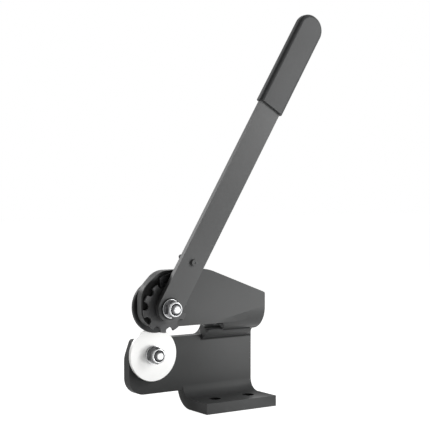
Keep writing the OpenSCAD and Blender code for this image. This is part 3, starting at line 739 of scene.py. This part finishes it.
def thread_ridge(z0, z1):
    """A helical ridge on a core between two heights, closed at both ends."""
    fit = settings().fasteners
    core, crest, pitch = fit.core_radius, fit.thread_radius, fit.pitch
    half_root, half_crest = pitch * RIDGE_ROOT, pitch * RIDGE_CREST
    turns = (z1 - z0) / pitch
    deselect_all()
    bpy.ops.mesh.primitive_plane_add(size=MM)
    piece = bpy.context.object
    corners = [(core * THREAD_SINK, -half_root), (crest, -half_crest),
               (core * THREAD_SINK, half_root), (crest, half_crest)]
    for vertex, (radius, height) in zip(piece.data.vertices, corners):
        vertex.co = (radius, 0.0, height + z0)
    edit_all(piece)
    bpy.ops.mesh.delete(type="ONLY_FACE")
    leave_edit()
    add_modifier(piece, "SCREW", axis="Z", angle=2.0 * math.pi, screw_offset=pitch,
                 iterations=math.ceil(turns), steps=THREAD_STEPS, render_steps=THREAD_STEPS,
                 use_merge_vertices=True)
    enter_edit()
    bpy.ops.mesh.select_mode(type="EDGE")
    bpy.ops.mesh.select_all(action="DESELECT")
    bpy.ops.mesh.select_non_manifold()
    bpy.ops.mesh.edge_face_add()
    leave_edit()
    return smooth(outward(piece))


def copy_of(pattern):
    """A copy with its own mesh."""
    work_on(pattern)
    bpy.ops.object.duplicate(linked=False)
    return bpy.context.object


def join(target, *others):
    work_on(target)
    for other in others:
        other.select_set(True)
    bpy.ops.object.join()
    return target


def cylinder(vertices, radius, z0, z1):
    deselect_all()
    bpy.ops.mesh.primitive_cylinder_add(vertices=vertices, radius=radius, depth=z1 - z0,
                                        location=(0.0, 0.0, (z0 + z1) / 2.0))
    return bpy.context.object


def combine(piece, other, operation):
    """Cuts a piece with another one, which is used up."""
    add_modifier(piece, "BOOLEAN", operation=operation, solver="EXACT", object=other)
    bpy.data.objects.remove(other)
    return piece


def hexagon(across, z0, z1, chamfer):
    """A hexagon whose corners are cut by a cone at both ends."""
    corner = across / math.sqrt(3.0)
    piece = cylinder(6, corner, z0, z1)
    bake_place()
    flat = across / 2.0 * HEX_FLAT
    wide = corner * HEX_CORNER
    cone = turned([(0.0, z0), (flat, z0), (wide, z0 + chamfer), (wide, z1 - chamfer),
                   (flat, z1), (0.0, z1)], CUTTER_STEPS)
    return combine(piece, cone, "INTERSECT")


def soften(piece, width):
    """Small rounding on the edges of a hexagon."""
    smooth(piece, SHARP_HEX)
    add_modifier(piece, "BEVEL", width=width, segments=2, limit_method="ANGLE",
                 angle_limit=math.radians(SHARP_HEX))
    return smooth(piece, SHARP_HEX_BEVELLED)


# Pieces

class SHEAR_OT_plate(bpy.types.Operator):
    """Dresses the bent frame plate with rounded cut edges and powder coat"""
    bl_idname = "shear.plate"
    bl_label = "Frame plate"

    def execute(self, context):
        piece = node_copy("frame_plate")
        self.even_fold(piece)
        round_edges(piece, settings().edges.plate)
        finish_piece(piece, "frame_plate_dressed", "frame", "powder_coat", plate_coat(),
                     "frame_plate")
        return {"FINISHED"}

    def even_fold(self, piece):
        """Evens the crease where the head's climbing fold runs into the straight bend."""
        plate = settings().plate
        low, high = plate.fold_low, plate.fold_high

        def in_fold(face):
            inside = all(low[i] < face.center[i] < high[i] for i in range(3))
            return inside and face.normal.y < -plate.fold_front and face.area < plate.fold_face

        edit_some(piece, "FACE", piece.data.polygons, in_fold)
        bpy.ops.mesh.subdivide(number_cuts=plate.fold_cuts)
        bpy.ops.mesh.select_less()
        bpy.ops.mesh.vertices_smooth(factor=0.5, repeat=plate.fold_rounds)
        leave_edit()


class SHEAR_OT_lever(bpy.types.Operator):
    """Dresses the flat bar of the lever and the head of the pawl's pin"""
    bl_idname = "shear.lever"
    bl_label = "Lever bar and pin"

    def execute(self, context):
        # The lever's coat is painted lighter and has a painted shadow round the washer.
        edges, coat = settings().edges, lever_coat()
        dress("lever_arm", edges.bar, "powder_coat", coat)
        dress("pawl_pin", edges.washer, "powder_coat", coat)
        return {"FINISHED"}


class SHEAR_OT_grip(bpy.types.Operator):
    """Models the dipped grip: round top, soft long edges and an open lower end"""
    bl_idname = "shear.grip"
    bl_label = "Dipped grip"

    def execute(self, context):
        grip = settings().grip
        local = lever_frame().inverted()
        corners = [local @ v.co for v in frame["nodes"]["lever_grip"].data.vertices]
        low = Vector(min(c[i] for c in corners) for i in range(3))
        high = Vector(max(c[i] for c in corners) for i in range(3))
        deselect_all()
        bpy.ops.mesh.primitive_cube_add(size=1.0, location=(low + high) / 2.0)
        piece = bpy.context.object
        piece.scale = high - low
        bake_place()

        def across_top(edge):
            first, second = edge_ends(piece, edge)
            at_top = min(first.x, second.x) > high.x - NEAR
            return at_top and abs((first - second).y) > grip.wall

        edit_some(piece, "EDGE", piece.data.edges, across_top)
        bpy.ops.mesh.bevel(offset=grip.end_radius, segments=GRIP_TOP_STEPS, affect="EDGES")
        leave_edit()

        def on_rim(edge):
            ends = edge_ends(piece, edge)
            front = all(co.y < low.y + NEAR for co in ends)
            back = all(co.y > high.y - NEAR for co in ends)
            return (front or back) and not all(co.x < low.x + NEAR for co in ends)

        edit_some(piece, "EDGE", piece.data.edges, on_rim)
        bpy.ops.mesh.bevel(offset=grip.edge_radius, segments=GRIP_EDGE_STEPS, affect="EDGES")
        leave_edit()

        edit_some(piece, "FACE", piece.data.polygons, lambda face: face.normal.x < LOOKS_DOWN)
        bpy.ops.mesh.inset(thickness=grip.wall)
        bpy.ops.mesh.extrude_region_move(TRANSFORM_OT_translate={"value": (grip.lip_depth, 0, 0)})
        leave_edit()
        outward(piece)
        round_edges(piece, grip.lip_edge, degrees=SHARP_ROUND)
        place(piece, lever_frame())
        finish_piece(piece, "grip_sleeve", "lever", "grip_vinyl", finish("Grip vinyl"),
                     "lever_grip")
        return {"FINISHED"}


class SHEAR_OT_blades(bpy.types.Operator):
    """Dresses the two round blades"""
    bl_idname = "shear.blades"
    bl_label = "Round blades"

    def execute(self, context):
        edges = settings().edges
        dress("lower_blade", edges.blade, "ground_steel", finish("Ground steel"), 2)
        dress("upper_blade", edges.blade, "black_oxide", finish("Black oxide"), 2)
        return {"FINISHED"}


class SHEAR_OT_ratchet(bpy.types.Operator):
    """Dresses the ratchet wheel, the pawl and the pawl's spring"""
    bl_idname = "shear.ratchet"
    bl_label = "Ratchet wheel, pawl and spring"

    def execute(self, context):
        width = settings().edges.wheel
        # The wheel's steel is painted lighter.
        dress("ratchet_wheel", width, "black_oxide", finish("Wheel steel"))
        # The pawl's blackened steel is painted darker for its shadow.
        dress("pawl", width, "black_oxide", finish("Pawl steel"))
        self.spring()
        return {"FINISHED"}

    def spring(self):
        """The wound wire, smoothed and riding on no body."""
        piece = node_copy("pawl_spring")
        add_modifier(piece, "SUBSURF", levels=1)
        smooth(piece, SHARP_ROUND)
        finish_piece(piece, "pawl_spring_wire", None, "spring_wire", finish("Spring wire"),
                     "pawl_spring")
        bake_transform(piece)


class SHEAR_OT_washers(bpy.types.Operator):
    """Dresses the washers and spacers, and gives the bushes, key and dowels their finish"""
    bl_idname = "shear.washers"
    bl_label = "Washers, spacers and bushes"

    def execute(self, context):
        width = settings().edges.washer
        for node in ("upper_washer", "lower_washer", "upper_rear_washer", "lower_rear_washer",
                     "lever_spacer", "lower_spacer"):
            dress(node, width, "zinc_plate", finish("Zinc plate"), 2)
        for node in ("drive_key", "blade_dowels"):
            frame["nodes"][node].material_slots[0].material = finish("Zinc plate")
        for node in ("upper_bush", "lever_bush", "lower_bush"):
            frame["nodes"][node].material_slots[0].material = finish("Bronze")
        return {"FINISHED"}


class SHEAR_OT_nuts(bpy.types.Operator):
    """Models a locking nut, with hexagon, collar and nylon insert, and copies it to its places"""
    bl_idname = "shear.nuts"
    bl_label = "Locking nuts"

    def execute(self, context):
        low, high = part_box("upper_nut")
        height = high.y - low.y
        # The hexagon takes the zinc painted darker, as painted dark reflections and shade.
        parts = (("hexagon", self.hexagon_part(height), finish("Dulled zinc")),
                 ("collar", self.collar_part(height), finish("Zinc plate")),
                 ("insert", self.insert_part(height), finish("Nylon")))
        for node, axis, forwards in (("upper_nut", UPPER_AXIS, True),
                                     ("lower_nut", LOWER_AXIS, True),
                                     ("upper_rear_nut", UPPER_AXIS, False)):
            low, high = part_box(node)
            seat = high.y if forwards else low.y
            for kind, pattern, look in parts:
                piece = copy_of(pattern)
                place(piece, y_axis_frame(axis, seat, forwards))
                finish_piece(piece, node + "_" + kind, body_of_node(node), "zinc_plate", look, node)
        for _, pattern, _ in parts:
            bpy.data.objects.remove(pattern)
        return {"FINISHED"}

    def hexagon_part(self, height):
        fit = settings().fasteners
        top = height - fit.lock_height
        nut = hexagon(fit.across_flats, 0.0, top, fit.bevel)
        bore = cylinder(fit.lathe_steps, fit.thread_radius, -fit.bevel, height)
        return soften(combine(nut, bore, "DIFFERENCE"), fit.nut_edge)

    def collar_part(self, height):
        fit = settings().fasteners
        root = height - fit.lock_height - fit.nut_edge
        outer, lip = fit.lock_radius, fit.lock_lip
        inner = outer - 2.0 * lip
        arc = [(outer - lip + lip * math.cos(math.radians(a)),
                height - lip + lip * math.sin(math.radians(a))) for a in range(0, 181, 15)]
        profile = [(inner, root), (outer, root)] + arc + [(inner, root)]
        return smooth(turned(profile, fit.lathe_steps), SHARP_ROUND)

    def insert_part(self, height):
        fit = settings().fasteners
        root = height - fit.lock_height
        top = height - fit.insert_depth
        inner = fit.thread_radius + fit.insert_gap
        outer = fit.lock_radius - INSERT_LAP * fit.lock_lip
        profile = [(inner, root), (outer, root), (outer, top), (inner, top - fit.insert_gap),
                   (inner, root)]
        return smooth(turned(profile, fit.lathe_steps), SHARP_ROUND)


class SHEAR_OT_spindles(bpy.types.Operator):
    """Turns the stepped upper spindle and the lower bolt, with real threads at their ends"""
    bl_idname = "shear.spindles"
    bl_label = "Spindle and bolt"

    def execute(self, context):
        self.upper()
        self.lower()
        return {"FINISHED"}

    def upper(self):
        fit = settings().fasteners
        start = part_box("upper_spindle")[0].y
        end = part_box("upper_spindle")[1].y
        collar_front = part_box("upper_bush")[1].y + fit.side_gap
        collar_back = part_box("upper_blade")[0].y
        thread_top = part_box("lever_bush")[0].y
        wheel_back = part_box("ratchet_wheel")[1].y
        blade_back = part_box("upper_blade")[1].y
        core, seat, journal = fit.core_radius, fit.seat_radius, fit.journal_radius
        collar, tip, bevel = fit.collar_radius, fit.tip, fit.nut_edge
        outline = [(0.0, start), (core - tip, start), (core, start + tip), (core, thread_top),
                   (seat, thread_top), (seat, wheel_back), (journal, wheel_back),
                   (journal, collar_front), (collar - bevel, collar_front),
                   (collar, collar_front + bevel), (collar, collar_back - bevel),
                   (collar - bevel, collar_back), (seat, collar_back), (seat, blade_back),
                   (core, blade_back), (core, end - tip), (core - tip, end), (0.0, end)]
        body = smooth(turned([(r, y - start) for r, y in outline], fit.lathe_steps))
        front = thread_ridge(tip, thread_top - start - fit.pitch)
        back = thread_ridge(blade_back - start + fit.pitch, end - start - 2.0 * fit.pitch)
        # The threads take the zinc painted darker, as painted shade.
        self.put("upper_spindle", "drive", UPPER_AXIS, start,
                 (body, "spindle_turned", "Zinc plate"),
                 (join(front, back), "spindle_threads", "Dulled zinc"))

    def lower(self):
        fit = settings().fasteners
        low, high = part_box("lower_bolt")
        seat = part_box("lower_rear_washer")[1].y
        plain_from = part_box("lower_bush")[0].y
        core, shank, tip = fit.core_radius, fit.thread_radius, fit.tip
        outline = [(0.0, low.y), (core - tip, low.y), (core, low.y + tip), (core, plain_from),
                   (shank, plain_from), (shank, seat + tip), (0.0, seat + tip)]
        body = smooth(turned([(r, y - low.y) for r, y in outline], fit.lathe_steps))
        ridge = thread_ridge(tip, plain_from - low.y - fit.pitch)
        head = soften(hexagon(fit.across_flats, seat - low.y, high.y - low.y, fit.bevel),
                      fit.nut_edge)
        # Thread and head take the zinc painted darker, as painted dark reflections and shade.
        self.put("lower_bolt", "frame", LOWER_AXIS, low.y,
                 (body, "bolt_turned", "Zinc plate"), (ridge, "bolt_thread", "Dulled zinc"),
                 (head, "bolt_head", "Dulled zinc"))

    def put(self, node, body, axis, start, *parts):
        for piece, name, look in parts:
            place(piece, y_axis_frame(axis, start, False))
            finish_piece(piece, name, body, "zinc_plate", finish(look), node)


# Stage

def white_for_camera(tree, plain, white, out):
    """Mixes a plain shader with a white one where camera, glossy or transmission rays look."""
    path = node_in(tree, "ShaderNodeLightPath").outputs
    seen = calculate(tree, "MAXIMUM", path["Is Camera Ray"], path["Is Glossy Ray"])
    any_ray = calculate(tree, "MAXIMUM", seen, path["Is Transmission Ray"])
    mix = node_in(tree, "ShaderNodeMixShader", {"Fac": any_ray, 1: plain, 2: white})
    tree.links.new(mix.outputs[0], out)


class SHEAR_OT_stage(bpy.types.Operator):
    """Sets the camera, the white studio, the floor and the lamps"""
    bl_idname = "shear.stage"
    bl_label = "Stage"

    def execute(self, context):
        self.camera(context)
        self.world(context)
        self.floor(context)
        self.lamps(context)
        context.scene.view_settings.view_transform = "Standard"
        return {"FINISHED"}

    def camera(self, context):
        stage = settings().stage
        deselect_all()
        bpy.ops.object.camera_add(location=stage.camera_place, rotation=stage.camera_turn)
        camera = context.object
        camera.data.lens = stage.lens_mm
        camera.data.sensor_width = 36.0
        camera.data.clip_start = 0.01
        context.scene.camera = camera

    def world(self, context):
        world = bpy.data.worlds.new("Studio")
        context.scene.world = world
        world.use_nodes = True
        tree = world.node_tree
        plain = tree.nodes["Background"]
        plain.inputs["Color"].default_value = (1.0, 1.0, 1.0, 1.0)
        plain.inputs["Strength"].default_value = settings().stage.ambient
        white = node_in(tree, "ShaderNodeBackground", {"Color": (1.0, 1.0, 1.0, 1.0)})
        white_for_camera(tree, plain.outputs[0], white.outputs[0],
                         tree.nodes["World Output"].inputs["Surface"])

    def floor(self, context):
        stage = settings().stage
        deselect_all()
        bpy.ops.mesh.primitive_plane_add(size=12.0, location=(0.0, 0.0, 0.0))
        floor = context.object
        floor.name = "floor"
        made = bpy.data.materials.new("Floor")
        made.use_nodes = True
        tree = made.node_tree
        tree.nodes.remove(tree.nodes["Principled BSDF"])
        grey = stage.floor_colour
        plain = node_in(tree, "ShaderNodeBsdfDiffuse", {"Color": (grey, grey, grey, 1.0)})
        glow = node_in(tree, "ShaderNodeEmission", {"Strength": stage.floor_glow})
        both = node_in(tree, "ShaderNodeAddShader", {0: plain.outputs[0], 1: glow.outputs[0]})
        white_for_camera(tree, plain.outputs[0], both.outputs[0],
                         tree.nodes["Material Output"].inputs["Surface"])
        floor.data.materials.append(made)

    def lamps(self, context):
        stage = settings().stage
        for name, (place_at, aim, width, height) in LAMPS.items():
            turn = (Vector(aim) - Vector(place_at)).to_track_quat("-Z", "Y").to_euler()
            deselect_all()
            bpy.ops.object.light_add(type="AREA", location=place_at, rotation=turn)
            lamp = context.object
            lamp.name = name
            lamp.data.shape = "RECTANGLE"
            lamp.data.size = width
            lamp.data.size_y = height
            lamp.data.energy = getattr(stage, name + "_power")
            lamp.visible_camera = False


PIECES = (SHEAR_OT_plate, SHEAR_OT_lever, SHEAR_OT_grip, SHEAR_OT_blades, SHEAR_OT_ratchet,
          SHEAR_OT_washers, SHEAR_OT_nuts, SHEAR_OT_spindles)


class SHEAR_PT_panel(bpy.types.Panel):
    """Lists the pieces and their settings"""
    bl_idname = "SHEAR_PT_panel"
    bl_label = "Sheet Metal Shear"
    bl_space_type = "VIEW_3D"
    bl_region_type = "UI"
    bl_category = "Shear"

    def draw(self, context):
        layout = self.layout
        for operator in (SHEAR_OT_stage,) + PIECES:
            layout.operator(operator.bl_idname)
        for group in ("finishes", "plate", "edges", "grip", "spring", "fasteners", "stage"):
            box = layout.box()
            box.label(text=group.title())
            values = getattr(context.scene.shear, group)
            for name in values.__annotations__:
                box.prop(values, name)


class ShearSettings(bpy.types.PropertyGroup):
    finishes: PointerProperty(type=ShearFinishes, name="Finishes", description="Colours and gloss")
    plate: PointerProperty(type=ShearPlate, name="Plate", description="Seam, holes and coat")
    edges: PointerProperty(type=ShearEdges, name="Edges", description="Edge rounding")
    grip: PointerProperty(type=ShearGrip, name="Grip", description="Shape of the grip")
    spring: PointerProperty(type=ShearSpring, name="Spring", description="Bend of the spring's leg")
    fasteners: PointerProperty(type=ShearFasteners, name="Fasteners",
                               description="Nuts and threads")
    stage: PointerProperty(type=ShearStage, name="Stage", description="Camera and light")


CLASSES = (ShearFinishes, ShearPlate, ShearEdges, ShearGrip, ShearSpring, ShearFasteners,
           ShearStage, ShearSettings, SHEAR_OT_stage) + PIECES + (SHEAR_PT_panel,)


def register():
    for cls in CLASSES:
        bpy.utils.register_class(cls)
    bpy.types.Scene.shear = PointerProperty(type=ShearSettings)


def unregister():
    del bpy.types.Scene.shear
    for cls in reversed(CLASSES):
        bpy.utils.unregister_class(cls)


def main():
    register()
    bpy.ops.shear.stage()
    bpy.ops.shear.plate()
    bpy.ops.shear.lever()
    bpy.ops.shear.grip()
    bpy.ops.shear.blades()
    bpy.ops.shear.ratchet()
    bpy.ops.shear.washers()
    bpy.ops.shear.nuts()
    bpy.ops.shear.spindles()


if __name__ == "__main__":
    main()
